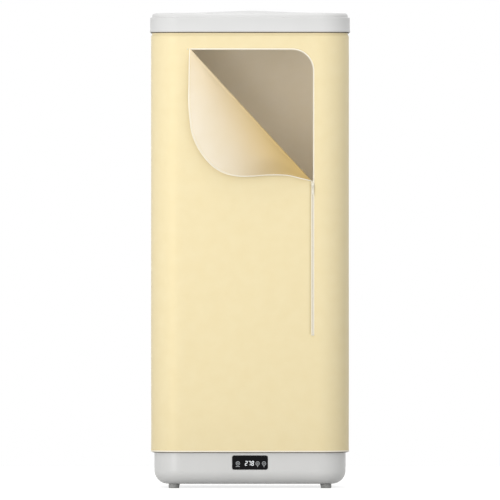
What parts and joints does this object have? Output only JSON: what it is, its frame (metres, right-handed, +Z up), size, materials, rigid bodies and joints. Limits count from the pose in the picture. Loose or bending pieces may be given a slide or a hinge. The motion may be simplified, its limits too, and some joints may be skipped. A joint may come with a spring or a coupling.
{
  "type": "drying cabinet",
  "caption": "Free-standing cloth-covered clothes dryer: moulded base with fan and heater, tube frame, hanging rail, zipped cover with a folded door corner, moulded lid.",
  "frame": {"origin": "on the floor under the middle of the cabinet", "axes": "+X to the right as seen from the front, +Y to the back, +Z up; the zipped front faces -Y"},
  "size_m": [0.6, 0.4638, 1.436],
  "materials": {
    "white_shell": "satin moulded ABS",
    "deck_plastic": "fine-textured moulded plastic",
    "grey_grille": "matt grey moulded plastic",
    "filter_mesh": "open foam mesh",
    "dark_plastic": "matt black moulded plastic",
    "motor_steel": "plated steel",
    "heat_plastic": "heat-resistant plastic",
    "heater_aluminium": "bare fins",
    "display_gloss": "gloss black window",
    "board_green": "solder-resist green",
    "black_rubber": "matt rubber",
    "grey_rubber": "matt grey rubber",
    "tube_steel": "powder-coated steel tube",
    "cover_cloth": "cream woven cloth",
    "zip_white": "moulded zip rows on tape",
    "zip_metal": "enamelled zinc"
  },
  "bodies": {
    "cabinet": {"base_shell": "white_shell", "top_cover": "white_shell", "base_deck": "deck_plastic", "top_frame": "deck_plastic", "outlet_grille": "grey_grille", "intake_grille": "grey_grille", "dust_filter": "filter_mesh", "fan_shroud": "dark_plastic", "fan_motor": "motor_steel", "heater_frame": "heat_plastic", "heater_core": "heater_aluminium", "thermostat": "motor_steel", "display_window": "display_gloss", "control_board": "board_green", "cord_gland": "black_rubber", "rubber_feet": "grey_rubber", "post_plugs": "dark_plastic", "rail_sockets": "deck_plastic", "hanging_rail": "tube_steel", "cover_front": "cover_cloth", "cover_back": "cover_cloth", "zip_row_fixed": "zip_white", "zip_row_lower": "zip_white", "zip_stop_bottom": "zip_metal", "zip_stop_top": "zip_metal", "post_front_left": "tube_steel", "post_front_right": "tube_steel", "post_rear_left": "tube_steel", "post_rear_right": "tube_steel"},
    "fan_rotor": {"fan_impeller": "dark_plastic"},
    "door_leaf": {"door_flap": "cover_cloth", "zip_row_flap": "zip_white"},
    "slider": {"zip_slider": "zip_metal"},
    "pull": {"zip_pull": "zip_metal"}
  },
  "joints": [
    {"name": "fan_spin", "type": "hinge", "parent": "cabinet", "child": "fan_rotor", "pos_m": [0, 0, 0.05], "axis": [0, 0, 1], "continuous": true},
    {"name": "flap_fold", "type": "hinge", "parent": "cabinet", "child": "door_leaf", "pos_m": [-0.17925, -0.2296, 1.32501], "axis": [-0.6769, 0, 0.7361], "range_deg": [0, 180]},
    {"name": "zip_slide", "type": "slide", "parent": "cabinet", "child": "slider", "axis": [0, 0, 1], "range_m": [-0.43, 0.33]},
    {"name": "pull_swing", "type": "hinge", "parent": "slider", "child": "pull", "pos_m": [0.1885, -0.2266, 0.9065], "axis": [-1, 0, 0], "range_deg": [0, 170]}
  ]
}
